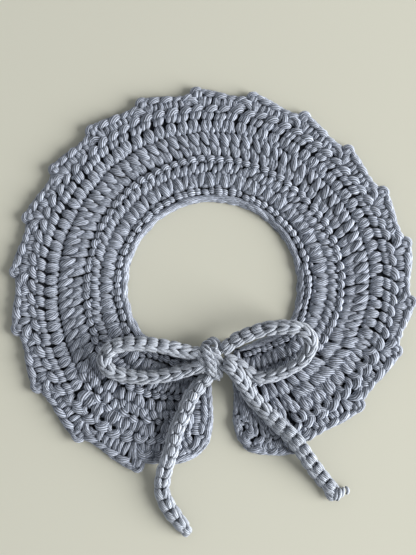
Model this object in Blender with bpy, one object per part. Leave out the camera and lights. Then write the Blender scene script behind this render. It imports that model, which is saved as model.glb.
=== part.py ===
"""A crocheted cotton collar laid flat, its neck tied at the front with a crocheted cord in a bow.

Metres, +Z up. The collar rests on z = 0, the back of the neck points to +Y and the open fronts to -Y.
Plan places are polar about the centre of the neck: degrees clockwise from the back, and millimetres.
"""

import math

import bpy
import numpy as np
from mathutils import Vector

MM = 0.001
COLLECTION = "crochet_collar"
RING_CENTRE = (0.0001, -0.0069)  # where the neck's centre lies, so that the collar's box is centred on the origin

# The band is counted in stitches, from the left front edge (0) round the back to the right front edge.
STITCHES = 84
SECTIONS = (  # one row for each section across the band
    # stitch, neck angle, neck radius, rim angle, rim radius
    (0, -165.2, 47.0, -171.2, 85.0),
    (1, -163.0, 46.6, -170.6, 91.8),
    (2, -160.2, 46.4, -167.8, 96.2),
    (4, -153.8, 46.6, -161.4, 100.2),
    (6, -146.8, 47.7, -154.6, 104.8),
    (8, -139.8, 49.4, -146.2, 108.8),
    (10, -132.6, 51.4, -137.2, 111.2),
    (14, -117.5, 53.2, -119.4, 113.0),
    (18, -102.0, 53.2, -102.2, 112.2),
    (22, -85.7, 53.2, -85.7, 111.8),
    (30, -53.2, 53.2, -53.2, 112.4),
    (36, -29.0, 53.2, -29.0, 113.2),
    (42, -4.0, 53.2, -4.0, 112.0),
    (50, 29.2, 53.2, 29.2, 110.6),
    (54, 45.6, 53.2, 45.6, 109.8),
    (58, 62.0, 53.2, 62.0, 111.0),
    (62, 78.5, 53.2, 78.5, 112.6),
    (66, 93.5, 53.2, 95.3, 111.8),
    (70, 107.0, 53.2, 110.0, 109.6),
    (74, 121.0, 52.4, 130.0, 105.4),
    (78, 135.2, 46.4, 150.0, 101.4),
    (80, 142.3, 44.0, 157.5, 100.6),
    (82, 149.2, 42.6, 163.6, 98.6),
    (83, 152.5, 42.6, 166.4, 94.0),
    (84, 155.8, 42.7, 167.3, 86.0),
)

# Each strip of the band lies between two fractions of the way from the neck edge to the rim.
SEAM_GAP = 0.3
FOUNDATION_TO = 0.135
ROW_1_TO = 0.43
ROW_2_TO = 0.72
ROW_3_TO = 1.0

# Section profiles, as (fraction across the strip, height of the outer face). The underside is flat.
CHAIN_PROFILE = ((0.0, 2.6), (0.2, 4.0), (0.5, 4.4), (0.78, 4.2), (1.0, 3.0))
ROW_PROFILE = ((0.0, 3.2), (0.12, 4.4), (0.34, 5.0), (0.58, 4.2), (0.80, 4.9), (1.0, 3.4))
BORDER_PROFILE = ((0.0, 3.2), (0.25, 4.5), (0.55, 4.1), (0.80, 4.3), (1.0, 2.8))

# Shallow ripples in which the cloth stands a little higher, fading towards the neck.
RIPPLES = (  # stitch at the crest, half width in stitches, extra height
    (9.0, 4.0, 0.7),
    (36.0, 6.0, 0.5),
    (68.0, 3.2, 1.4),
    (75.5, 2.6, 0.9),
)

# The border round goes up each front edge, with a picot point at every fourth stitch of the hem.
BORDER_WIDTH = (  # place along the border's path, width of the border there
    (-6.0, 8.4),
    (-3.0, 11.4),
    (0.0, 12.9),
    (4.0, 12.8),
    (6.0, 12.0),
    (10.0, 9.4),
    (14.0, 8.7),
    (18.0, 8.6),
    (40.0, 8.6),
    (62.0, 8.6),
    (68.0, 8.5),
    (74.0, 8.2),
    (80.0, 7.6),
    (84.0, 5.8),
    (90.0, 5.0),
)
FRONT_STEPS = 6  # sections up each front edge, which count on from the stitches
PICOT_STITCHES = tuple(range(6, 75, 4)) + (79,)
PICOT_HEIGHT = 4.5
PICOT_RISE = 0.55  # stitches from the border's edge up to the point, on its steep side
PICOT_FALL = 1.7  # and down its long side
PICOT_SAMPLES = (-0.56, -0.25, 0.0, 0.4, 1.0, 1.7)

# The tie is one crocheted cord. Its routes are (x, y, z) from the neck's centre, in millimetres.
CORD_SECTION = (9.0, 7.0)  # width and height: the soft cord lies a little flattened
CORD_STEP = 6.0  # spacing of its points, close enough for the loops' bends
CORD_SIDES = 10
CORD_TAPER = 14.0  # length over which it narrows towards either end
CORD_END_SCALE = 0.76
TIE_ROUTES = {
    "tie_loop_left": (
        (-6.5, -42.2, 12.2),
        (-12.4, -41.8, 13.2),
        (-23.4, -39.2, 14.6),
        (-34.4, -37.0, 15.6),
        (-45.4, -36.2, 16.0),
        (-53.7, -36.7, 15.6),
        (-60.5, -38.9, 14.6),
        (-64.4, -43.5, 13.0),
        (-64.7, -48.7, 11.4),
        (-61.8, -52.1, 10.4),
        (-56.9, -54.2, 9.8),
        (-45.8, -56.3, 9.4),
        (-34.7, -55.9, 9.6),
        (-23.5, -54.1, 10.6),
        (-12.8, -51.2, 12.6),
        (-6.4, -49.4, 14.2),
    ),
    "tie_loop_right": (
        (6.8, -39.5, 13.0),
        (13.0, -34.6, 14.4),
        (24.0, -29.7, 17.0),
        (34.9, -27.1, 18.4),
        (45.9, -26.5, 18.4),
        (52.7, -27.7, 17.4),
        (57.3, -30.9, 16.0),
        (59.2, -35.9, 14.4),
        (57.4, -41.7, 12.8),
        (53.6, -46.7, 11.4),
        (46.4, -51.4, 10.2),
        (38.7, -54.7, 9.5),
        (29.8, -56.5, 9.2),
        (24.6, -55.2, 9.1),
        (20.4, -52.2, 9.0),
        (15.6, -48.4, 9.0),
        (8.2, -45.1, 9.2),
    ),
    "tie_tail_left": (
        (-2.2, -55.1, 9.2),
        (-5.5, -58.6, 9.3),
        (-9.1, -62.6, 9.3),
        (-13.0, -68.3, 9.3),
        (-17.1, -77.7, 9.4),
        (-22.0, -88.6, 9.4),
        (-24.8, -99.5, 9.5),
        (-26.6, -105.2, 9.3),
        (-28.3, -110.5, 7.9),
        (-29.6, -115.0, 5.7),
        (-30.3, -119.9, 4.2),
        (-30.0, -125.2, 3.8),
        (-27.2, -132.4, 3.8),
        (-22.1, -139.6, 3.8),
        (-17.0, -145.4, 3.8),
    ),
    "tie_tail_right": (
        (8.0, -48.5, 16.6),
        (11.0, -50.6, 16.9),
        (14.9, -54.6, 15.5),
        (19.2, -61.0, 12.3),
        (24.4, -69.0, 10.0),
        (32.4, -77.2, 9.4),
        (40.6, -85.5, 9.4),
        (48.0, -92.3, 9.4),
        (53.2, -99.1, 9.1),
        (57.8, -105.8, 7.3),
        (63.0, -112.9, 4.7),
        (66.9, -117.7, 3.8),
        (70.2, -121.2, 3.8),
        (72.8, -123.8, 3.8),
    ),
    "tie_root_left": ((-6.6, -42.7, 2.5), (-4.8, -42.3, 3.0), (-3.2, -42.3, 4.0), (-2.0, -42.6, 5.2)),
    "tie_root_right": ((14.4, -35.9, 2.6), (11.2, -36.8, 3.0), (7.6, -38.6, 4.1), (3.4, -41.8, 6.1)),
}
ROOT_SECTION = (5.4, 4.4)
KNOT_CENTRE = (0.3, -45.8, 12.1)
KNOT_SIZE = (12.8, 21.6, 13.0)
KNOT_LEAN = math.radians(12)  # its wraps run from the upper left to the lower right
TIPS = {  # the little knots that end the tails: centre, size
    "tie_tip_left": ((-15.0, -148.0, 3.0), (5.2, 6.2, 5.2)),
    "tie_tip_right": ((76.6, -124.6, 2.9), (6.6, 5.0, 5.2)),
}

YARN_COLOUR = (0.27, 0.30, 0.36, 1.0)
YARN_ROUGHNESS = 0.92


def clear_scene():
    for old in list(bpy.data.objects):
        bpy.data.objects.remove(old, do_unlink=True)


def yarn_material():
    material = bpy.data.materials.new("cotton_yarn")
    material.use_nodes = True
    shader = material.node_tree.nodes["Principled BSDF"]
    shader.inputs["Base Color"].default_value = YARN_COLOUR
    shader.inputs["Roughness"].default_value = YARN_ROUGHNESS
    shader.inputs["Metallic"].default_value = 0.0
    return material


def smooth_rows(rows, at):
    """The columns of a table, read at one value of its first column along a smooth curve through the rows."""
    table = np.array(rows, float)
    keys, values = table[:, 0], table[:, 1:]
    slopes = np.gradient(values, keys, axis=0)
    low = int(np.clip(np.searchsorted(keys, at) - 1, 0, len(keys) - 2))
    span = keys[low + 1] - keys[low]
    t = (at - keys[low]) / span
    return (
        values[low] * (2 * t**3 - 3 * t**2 + 1)
        + slopes[low] * span * (t**3 - 2 * t**2 + t)
        + values[low + 1] * (3 * t**2 - 2 * t**3)
        + slopes[low + 1] * span * (t**3 - t**2)
    )


def polar(angle, radius):
    turn = math.radians(angle)
    return np.array([radius * math.sin(turn), radius * math.cos(turn)])


def section_ends(stitch):
    """The neck end and the rim end of the section at one stitch, in plan."""
    neck_angle, neck_radius, rim_angle, rim_radius = smooth_rows(SECTIONS, stitch)
    return polar(neck_angle, neck_radius), polar(rim_angle, rim_radius)


def ripple(stitch, fraction):
    lift = 0.0
    for crest, half_width, height in RIPPLES:
        lift += height * math.exp(-(((stitch - crest) / half_width) ** 2))
    return lift * min(1.0, max(0.0, fraction))


def new_object(name, data, material):
    made = bpy.data.objects.new(name, data)
    bpy.data.collections[COLLECTION].objects.link(made)
    data.materials.append(material)
    return made


def lofted_strip(name, sections, material):
    """A closed wall through unlike sections, each a list of outer points over a flat underside."""
    points, faces = [], []
    across = len(sections[0])
    ring = across + 2
    for outer in sections:
        points += [(*spot, height) for *spot, height in outer]
        points += [(*outer[-1][:2], 0.0), (*outer[0][:2], 0.0)]
    for step in range(len(sections) - 1):
        for side in range(ring):
            a, b = step * ring + side, step * ring + (side + 1) % ring
            faces.append((a, a + ring, b + ring, b))
    faces.append(tuple(range(ring)))
    faces.append(tuple(reversed(range((len(sections) - 1) * ring, len(sections) * ring))))
    mesh = bpy.data.meshes.new(name)
    world = [(x * MM + RING_CENTRE[0], y * MM + RING_CENTRE[1], z * MM) for x, y, z in points]
    mesh.from_pydata(world, [], faces)
    mesh.shade_smooth()
    mesh.set_sharp_from_angle(angle=math.radians(40))
    return new_object(name, mesh, material)


def band_strip(name, start, end, profile, material):
    """One strip of the band, between two fractions of the way from the neck edge to the rim."""
    sections = []
    for stitch in stitch_samples():
        neck, rim = section_ends(stitch)
        depth = np.linalg.norm(rim - neck)
        inset = SEAM_GAP / 2 / depth
        first, last = start + inset, end - inset
        outer = []
        for across, height in profile:
            fraction = first + (last - first) * across
            x, y = neck + (rim - neck) * fraction
            outer.append((x, y, height + ripple(stitch, fraction)))
        sections.append(outer)
    return lofted_strip(name, sections, material)


def stitch_samples():
    """Closer sections at the fronts, where the band turns, than round the back."""
    fronts = [0.0, 0.5, 1.0, 1.5, 2.0, 3.0, 4.0, 5.0, 6.0, 8.0]
    back = list(np.linspace(10.0, 74.0, 49))
    return fronts + back + [76.0, 77.0, 78.0, 79.0, 80.0, 81.0, 82.0, 82.5, 83.0, 83.5, 84.0]


def border_path():
    """(place, inner point) along the border: up the fronts the place counts on past the stitches."""
    path = []
    for step in range(FRONT_STEPS):
        neck, rim = section_ends(0)
        path.append((step - FRONT_STEPS, neck + (rim - neck) * step / FRONT_STEPS))
    places = {round(float(stitch), 2) for stitch in range(STITCHES + 1)} | {0.5, 1.5, 82.5, 83.5}
    for picot in PICOT_STITCHES:
        places |= {round(picot + offset, 2) for offset in PICOT_SAMPLES}
    for place in sorted(places):
        path.append((place, section_ends(place)[1]))
    for step in range(1, FRONT_STEPS + 1):
        neck, rim = section_ends(STITCHES)
        path.append((STITCHES + step, rim + (neck - rim) * step / FRONT_STEPS))
    return path


def picot_reach(place):
    """How far the picots stand out past the border's edge at one place."""
    reach = 0.0
    for picot in PICOT_STITCHES:
        offset = place - picot
        if -PICOT_RISE < offset <= 0.0:
            reach = max(reach, PICOT_HEIGHT * (1 + offset / PICOT_RISE) ** 0.7)
        if 0.0 < offset < PICOT_FALL:
            reach = max(reach, PICOT_HEIGHT * (1 - offset / PICOT_FALL))
    return reach


def picot_border(name, material):
    path = border_path()
    spots = np.array([spot for _, spot in path])
    along = np.gradient(spots, axis=0)
    along /= np.linalg.norm(along, axis=1)[:, None]
    outward = np.stack([-along[:, 1], along[:, 0]], axis=1)
    sections = []
    for (place, _), spot, out in zip(path, spots, outward):
        width = smooth_rows(BORDER_WIDTH, place)[0] + picot_reach(place)
        outer = []
        for across, height in BORDER_PROFILE:
            x, y = spot + out * (SEAM_GAP + (width - SEAM_GAP) * across)
            outer.append((x, y, height + ripple(place, 1.0)))
        sections.append(outer)
    return lofted_strip(name, sections, material)


def even_route(points, spacing):
    """Evenly spaced points on the smooth curve through a route's own points."""
    route = [Vector(point) for point in points]
    route = [route[0] * 2 - route[1]] + route + [route[-1] * 2 - route[-2]]
    fine = []
    for before, a, b, after in zip(route, route[1:], route[2:], route[3:]):
        for step in range(12):
            t = step / 12
            fine.append(
                0.5
                * (
                    2 * a
                    + (b - before) * t
                    + (2 * before - 5 * a + 4 * b - after) * t**2
                    + (3 * a - before - 3 * b + after) * t**3
                )
            )
    fine.append(route[-2])
    lengths = np.cumsum([0.0] + [(q - p).length for p, q in zip(fine, fine[1:])])
    steps = max(2, round(lengths[-1] / spacing))
    even = np.linspace(0.0, lengths[-1], steps + 1)
    axes = [np.interp(even, lengths, [point[axis] for point in fine]) for axis in range(3)]
    return [Vector(spot) for spot in zip(*axes)]


def cord_profile(name, section):
    """The hidden closed outline that a cord is swept from."""
    outline = bpy.data.curves.new(name, "CURVE")
    outline.dimensions = "2D"
    loop = outline.splines.new("POLY")
    loop.points.add(CORD_SIDES - 1)
    for side, spot in enumerate(loop.points):
        turn = -2 * math.pi * (side + 0.5) / CORD_SIDES
        spot.co = (section[0] / 2 * MM * math.cos(turn), section[1] / 2 * MM * math.sin(turn), 0.0, 1.0)
    loop.use_cyclic_u = True
    made = bpy.data.objects.new(name, outline)
    made.hide_render = True
    bpy.data.collections[COLLECTION].objects.link(made)
    return made


def swept_cord(name, points, profile, material):
    curve = bpy.data.curves.new(name, "CURVE")
    curve.dimensions = "3D"
    curve.twist_mode = "Z_UP"
    curve.bevel_mode = "OBJECT"
    curve.bevel_object = profile
    curve.use_fill_caps = True
    places = even_route(points, CORD_STEP)
    length = CORD_STEP * (len(places) - 1)
    spline = curve.splines.new("POLY")
    spline.points.add(len(places) - 1)
    for step, (spot, point) in enumerate(zip(spline.points, places)):
        x, y, z = point * MM
        spot.co = (x + RING_CENTRE[0], y + RING_CENTRE[1], z, 1.0)
        from_end = min(step * CORD_STEP, length - step * CORD_STEP) / CORD_TAPER
        spot.radius = CORD_END_SCALE + (1 - CORD_END_SCALE) * min(1.0, from_end)
    return new_object(name, curve, material)


def rounded_knot(name, centre, size, turn, material):
    """A plump knot: a ball stretched to its three sizes."""
    bpy.ops.mesh.primitive_uv_sphere_add(segments=16, ring_count=10, radius=0.5)
    knot = bpy.context.object
    knot.name = name
    for vertex in knot.data.vertices:
        vertex.co = Vector(c * s * MM for c, s in zip(vertex.co, size))
    knot.rotation_euler = (0.0, 0.0, turn)
    x, y, z = centre
    knot.location = (x * MM + RING_CENTRE[0], y * MM + RING_CENTRE[1], z * MM)
    for holder in list(knot.users_collection):
        holder.objects.unlink(knot)
    bpy.data.collections[COLLECTION].objects.link(knot)
    knot.data.materials.append(material)
    knot.data.shade_smooth()
    return knot


def main():
    clear_scene()
    bpy.context.scene.collection.children.link(bpy.data.collections.new(COLLECTION))
    yarn = yarn_material()
    band_strip("collar_foundation_chain", 0.0, FOUNDATION_TO, CHAIN_PROFILE, yarn)
    band_strip("collar_row_1", FOUNDATION_TO, ROW_1_TO, ROW_PROFILE, yarn)
    band_strip("collar_row_2", ROW_1_TO, ROW_2_TO, ROW_PROFILE, yarn)
    band_strip("collar_row_3", ROW_2_TO, ROW_3_TO, ROW_PROFILE, yarn)
    picot_border("collar_picot_border", yarn)
    cord = cord_profile("cord_outline", CORD_SECTION)
    root = cord_profile("root_outline", ROOT_SECTION)
    for name, points in TIE_ROUTES.items():
        swept_cord(name, points, root if "root" in name else cord, yarn)
    rounded_knot("tie_knot", KNOT_CENTRE, KNOT_SIZE, KNOT_LEAN, yarn)
    for name, (centre, size) in TIPS.items():
        rounded_knot(name, centre, size, 0.0, yarn)


main()
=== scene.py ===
"""The looks of a crocheted cotton collar, tied in a bow: every stitch is drawn in strands of plied yarn.

A chart gives each strand of a stitch as a radius and a few points along its middle, in millimetres except
where they count stitches. place_on_band, place_on_border and Route.place turn the points into plain ones:
  on the band    (stitch, fraction, height): stitches clockwise from the left front edge, 0 neck to 1 rim
  on the border  (place, reach, height): places go on past the stitches up each front edge, reach is outward
  on a cord      (along, across, height): in stitches of the cord, and to the right of its middle line
"""

import math

import bpy
import numpy as np
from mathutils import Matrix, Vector


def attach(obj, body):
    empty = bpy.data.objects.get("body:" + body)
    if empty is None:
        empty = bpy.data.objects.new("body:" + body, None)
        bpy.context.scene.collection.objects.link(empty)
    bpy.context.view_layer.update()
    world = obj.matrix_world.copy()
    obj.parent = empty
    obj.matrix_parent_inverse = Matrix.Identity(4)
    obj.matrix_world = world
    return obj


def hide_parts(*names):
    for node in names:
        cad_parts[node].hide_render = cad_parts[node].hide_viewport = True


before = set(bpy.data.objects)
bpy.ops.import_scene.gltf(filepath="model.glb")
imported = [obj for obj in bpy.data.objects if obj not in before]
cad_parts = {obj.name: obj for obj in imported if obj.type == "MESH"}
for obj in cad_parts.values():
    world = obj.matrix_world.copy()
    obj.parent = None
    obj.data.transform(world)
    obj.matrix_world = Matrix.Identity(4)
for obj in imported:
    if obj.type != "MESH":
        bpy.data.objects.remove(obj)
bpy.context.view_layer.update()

MM = 0.001
TINY = 1e-12
RING_CENTRE = (0.1, -6.9)  # the neck's centre, in millimetres
RANDOM_SEED, CORD_SEED, TRACED_SEED = 7, 100, 200

# ---------- sizes of the collar, as in its construction
STITCHES = 84
BACK_STITCH = 42.0  # at the back of the neck
SECTIONS = (
    # stitch, neck angle, neck radius, rim angle, rim radius
    (0, -165.2, 47, -171.2, 85),
    (1, -163, 46.6, -170.6, 91.8),
    (2, -160.2, 46.4, -167.8, 96.2),
    (4, -153.8, 46.6, -161.4, 100.2),
    (6, -146.8, 47.7, -154.6, 104.8),
    (8, -139.8, 49.4, -146.2, 108.8),
    (10, -132.6, 51.4, -137.2, 111.2),
    (14, -117.5, 53.2, -119.4, 113),
    (18, -102, 53.2, -102.2, 112.2),
    (22, -85.7, 53.2, -85.7, 111.8),
    (30, -53.2, 53.2, -53.2, 112.4),
    (36, -29, 53.2, -29, 113.2),
    (42, -4, 53.2, -4, 112),
    (50, 29.2, 53.2, 29.2, 110.6),
    (54, 45.6, 53.2, 45.6, 109.8),
    (58, 62, 53.2, 62, 111),
    (62, 78.5, 53.2, 78.5, 112.6),
    (66, 93.5, 53.2, 95.3, 111.8),
    (70, 107, 53.2, 110, 109.6),
    (74, 121, 52.4, 130, 105.4),
    (78, 135.2, 46.4, 150, 101.4),
    (80, 142.3, 44, 157.5, 100.6),
    (82, 149.2, 42.6, 163.6, 98.6),
    (83, 152.5, 42.6, 166.4, 94),
    (84, 155.8, 42.7, 167.3, 86),
)
BORDER_WIDTH = (
    # place, width in millimetres
    (-6, 8.4),
    (-3, 11.4),
    (0, 12.9),
    (4, 12.8),
    (6, 12),
    (10, 9.4),
    (14, 8.7),
    (18, 8.6),
    (40, 8.6),
    (62, 8.6),
    (68, 8.5),
    (74, 8.2),
    (80, 7.6),
    (84, 5.8),
    (90, 5),
)
BORDER_FULLNESS = (
    # place, how full the strands are there: they crowd together round the corners of the fronts
    (-2, 0.92),
    (-1, 1.08),
    (2, 1.08),
    (3, 0.9),
    (5, 0.9),
    (6, 1),
    (76, 1),
    (79, 0.78),
    (88, 0.78),
    (90, 1),
)
RIPPLES = (
    # stitch at the crest, half width in stitches, extra height
    (9, 4, 0.7),
    (36, 6, 0.5),
    (68, 3.2, 1.4),
    (75.5, 2.6, 0.9),
)
# The seams of the charts: the neck, rows 1 to 2, rows 2 to 3, the middle of row 3, the rim.
CHARTED_SEAMS = (0.0, 0.47, 0.735, 0.88, 1.0)
SEAMS = (
    # stitch, then where the three inner seams of CHARTED_SEAMS lie there
    (0, 0.525, 0.77, 0.915),
    (9, 0.52, 0.768, 0.912),
    (14, 0.47, 0.735, 0.88),
    (40, 0.47, 0.735, 0.88),
    (66, 0.47, 0.735, 0.88),
    (72, 0.44, 0.708, 0.865),
    (84, 0.44, 0.708, 0.865),
)
EDGE_STEP = 0.02  # this far inside an edge shows which way the band goes on past it
FRONT_STEPS = 6  # places up each front edge
PLACE_STEP = 0.05  # between points of the border's line
CORNER_STEPS, CORNER_SPREAD = 12, 2.5  # the corners are rounded over this many steps, of a bell this wide

# ---------- where the charts are worked
# On the band: the stitches they start from, how far those stray, and how far they slant. Rows 2 and 3 are
# regular round the back, and looser near the fronts.
EACH = (range(STITCHES), 1.0, 0.0)
PAIRS = (range(0, STITCHES, 2), 1.0, 0.0)
REGULAR = (range(12, 70), 1.0, 0.0)
LEFT_2 = ((0.2, 1.5, 2.8, 4.1, 5.3, 6.5, 7.6, 8.7, 9.9, 11.0, 12.0), 2.2, 1.3)
LEFT_3 = (LEFT_2[0][:-1], *LEFT_2[1:])
RIGHT_3 = ((*range(70, 77), 77.2, 78.4, 79.6, 80.8, 82.0, 83.2), 1.5, 1.3)
RIGHT_2 = (RIGHT_3[0][:-1], *RIGHT_3[1:])
# On the border: the places they start from.
PICOT_STARTS = np.array([*range(6, 75, 4), 79]) - 0.05
HEM_STARTS = (0.1, 1.1, 2.1, 3.1, 4.1, 5.1, 77.4, 80.6, 81.7, 82.8, 83.9)
LEFT_FRONT_STARTS = (-6.2, -5.2, -4.2, -3.2, -2.2, -1.2, -0.4)
RIGHT_FRONT_STARTS = (84.6, 86.2, 87.8)

# ---------- yarn
PLIES = 8  # each ply is one ridge round a strand, between two grooves
RINGS = 9  # rings of points along a strand
LOFT = 1.03  # a strand's radius, as a share of its chart's
GROOVE, RIDGE = 0.28, 0.28 / 3  # depth of a groove and height of a ridge, as shares of the radius
TWIST = 0.2  # radians that the plies turn in each millimetre
FIRST_TURN = 6.0  # radians that they start round a strand, at most
END_RADIUS, END_POWER = 0.5, 0.55  # a strand's ends, as a share of its middle, and how soon it swells
FLATTEN = 0.85  # a strand's height, as a share of its width
FULLNESS = 1.1  # how far the band's strands fill their places
PITCH_LIMITS, PITCH_POWER = (0.5, 1.4), 0.8  # how far a radius follows the width of its stitch
CLEAR = 1.12  # the lowest that a strand's middle lies, as a share of its half thickness
STRAY, STRAY_LIMIT = (0.03, 0.004, 0.12), 2.0  # how far a strand strays, in a chart's three terms
LURCH, LURCH_LIMIT = (0.045, 0.006, 0.15), 1.6  # how far a whole stitch does
SWELL = 0.07  # how much one strand is thicker than another
PLY_SWELL = 0.07  # how much one ply of a strand stands out from another
PLY_TONE, PLY_TONE_MIDDLE, PLY_TONE_SPREAD = 0.55, 0.5, 0.3  # each ply's own share of its strand's tone
FIBRE_SHIFT = 97.0  # millimetres that one strand's streaks are shifted from another's, at most
TUCK = 0.42  # how far a strand goes on past its chart, in steps of the chart, under its neighbours
TUCK_DROP, TUCK_FLOOR = 0.9, 1.2  # how far down it goes there, and the lowest that it goes
LYING = 2.45  # an end above this height lies on top, and isn't led on
UPRIGHT = 0.15  # the sine of the lean under which a strand's start counts as upright
ASIDE = (1.0, 0.3, 0.0)  # the level way that is square to its side then


def smooth_rows(rows, at):
    """A table's columns at many values of its first column, along a smooth curve through the rows."""
    table = np.array(rows, float)
    keys, values = table[:, 0], table[:, 1:]
    slopes = np.gradient(values, keys, axis=0)
    at = np.asarray(at, float)
    low = np.clip(np.searchsorted(keys, at) - 1, 0, len(keys) - 2)
    span = (keys[low + 1] - keys[low])[..., None]
    t = (at - keys[low])[..., None] / span
    return (
        values[low] * (2 * t**3 - 3 * t**2 + 1)
        + slopes[low] * span * (t**3 - 2 * t**2 + t)
        + values[low + 1] * (3 * t**2 - 2 * t**3)
        + slopes[low + 1] * span * (t**3 - t**2)
    )


def unit(vectors):
    return vectors / (np.linalg.norm(vectors, axis=-1, keepdims=True) + TINY)


def distances(lines):
    """How far along its own line each point lies."""
    steps = np.linalg.norm(np.diff(lines, axis=-2), axis=-1)
    return np.concatenate([np.zeros_like(steps[..., :1]), np.cumsum(steps, axis=-1)], axis=-1)


def read(table, keys, at):
    """A table's columns at many values of its keys, along straight lines."""
    return np.stack([np.interp(at, keys, column) for column in table.T], axis=-1)


def polar(angle, radius):
    """A point at this bearing in degrees, clockwise from the back of the neck."""
    turn = np.radians(angle)
    return np.stack([radius * np.sin(turn), radius * np.cos(turn)], axis=-1)


def section_ends(stitch):
    """Where the band's cross-section at a stitch meets the neck and the rim."""
    ends = smooth_rows(SECTIONS, np.clip(stitch, 0, STITCHES))
    return polar(ends[..., 0], ends[..., 1]), polar(ends[..., 2], ends[..., 3])


def ripple(stitch, fraction):
    lift = np.zeros_like(stitch, dtype=float)
    for crest, half_width, height in RIPPLES:
        lift += height * np.exp(-(((stitch - crest) / half_width) ** 2))
    return lift * np.clip(fraction, 0, 1)


def seamed(stitch, fraction):
    """A charted fraction, moved so that the seams between the rows lie where they do at this stitch."""
    inner = smooth_rows(SEAMS, np.clip(stitch, 0, STITCHES))
    lines = [np.zeros_like(fraction), *(inner[..., i] for i in range(3)), np.ones_like(fraction)]
    moved = np.array(fraction, float)
    for low, high, a, b in zip(CHARTED_SEAMS, CHARTED_SEAMS[1:], lines, lines[1:]):
        between = (fraction >= low) & (fraction < high)
        moved = np.where(between, a + (b - a) * (fraction - low) / (high - low), moved)
    return moved


def place_on_band(stitch, fraction, height):
    fraction = seamed(stitch, fraction)

    def across(at):
        neck, rim = section_ends(at)
        return neck + (rim - neck) * fraction[..., None]

    plan = across(stitch)
    # Past either front edge the band goes straight on.
    for edge, inner in ((0.0, EDGE_STEP), (float(STITCHES), STITCHES - EDGE_STEP)):
        onward = (across(np.full_like(stitch, edge)) - across(np.full_like(stitch, inner))) / EDGE_STEP
        beyond = np.sign(stitch - edge) == np.sign(edge - inner)
        plan = plan + onward * (np.abs(stitch - np.clip(stitch, 0, STITCHES)) * beyond)[..., None]
    return np.concatenate([plan, (height + ripple(stitch, fraction))[..., None]], axis=-1)


def stretch(stitch, fraction):
    """How wide a stitch is here beside the same stitch at the back of the neck, softened."""

    def pitch(at):
        low, high = section_ends(at - 0.5), section_ends(at + 0.5)
        apart = [high[i] - low[i] for i in (0, 1)]
        return np.linalg.norm(apart[0] + (apart[1] - apart[0]) * fraction[..., None], axis=-1)

    at = np.clip(stitch, 0.5, STITCHES - 0.5)
    wider = pitch(at) / pitch(np.full_like(at, BACK_STITCH))
    return np.clip(wider, *PITCH_LIMITS) ** PITCH_POWER * FULLNESS


def border_line():
    """The border's inner edge, up one front, round the hem and up the other: places, points, ways outward."""
    neck_left, rim_left = (end[0] for end in section_ends(np.array([0.0])))
    neck_right, rim_right = (end[0] for end in section_ends(np.array([float(STITCHES)])))
    places = np.arange(-FRONT_STEPS, STITCHES + FRONT_STEPS + PLACE_STEP / 2, PLACE_STEP)
    hem = section_ends(np.clip(places, 0, STITCHES))[1]
    up_left = np.clip(-places / FRONT_STEPS, 0, None)[:, None]
    up_right = np.clip((places - STITCHES) / FRONT_STEPS, 0, None)[:, None]
    points = hem + (neck_left - rim_left) * up_left + (neck_right - rim_right) * up_right
    bell = np.exp(-np.linspace(-CORNER_SPREAD, CORNER_SPREAD, 2 * CORNER_STEPS + 1) ** 2 / 2)
    padded = np.pad(points, ((CORNER_STEPS, CORNER_STEPS), (0, 0)), "reflect", reflect_type="odd")
    points = np.stack([np.convolve(padded[:, i], bell / bell.sum(), "valid") for i in (0, 1)], axis=1)
    along = unit(np.gradient(points, axis=0))
    return places, points, np.stack([-along[:, 1], along[:, 0]], axis=1)


BORDER = border_line()


def border_width(place):
    return smooth_rows(BORDER_WIDTH, place)[..., 0]


def border_fullness(place, reach):
    return np.interp(place, *zip(*BORDER_FULLNESS))


def place_on_border(place, reach, height):
    places, points, outward = BORDER
    reach = reach * border_width(place) / CHARTED_WIDTH
    plan = read(points, places, place) + read(outward, places, place) * reach[..., None]
    return np.concatenate([plan, (height + ripple(place, 1.0))[..., None]], axis=-1)


def smooth_line(points, count):
    """This many points on a Catmull-Rom curve through a few."""
    line = np.array(points, float)
    line = np.concatenate([[2 * line[0] - line[1]], line, [2 * line[-1] - line[-2]]])
    at = np.linspace(0, len(points) - 1, count)
    low = np.minimum(at.astype(int), len(points) - 2)
    t = (at - low)[:, None]
    before, a, b, after = (line[low + i] for i in range(4))
    bend, sway = 2 * before - 5 * a + 4 * b - after, 3 * a - before - 3 * b + after
    return 0.5 * (2 * a + (b - before) * t + bend * t**2 + sway * t**3)


def tucked(points):
    """A chart's strand with both of its ends led on and down, under the strands beside it."""
    line = np.array(points, float)
    ends = []
    for end, inner in ((line[0], line[1]), (line[-1], line[-2])):
        beyond = end + (end - inner) * TUCK
        beyond[2] = max(end[2] - TUCK_DROP, TUCK_FLOOR)
        ends.append([beyond] if end[2] < LYING else [])
    return np.array([*ends[0], *line, *ends[1]])


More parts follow.
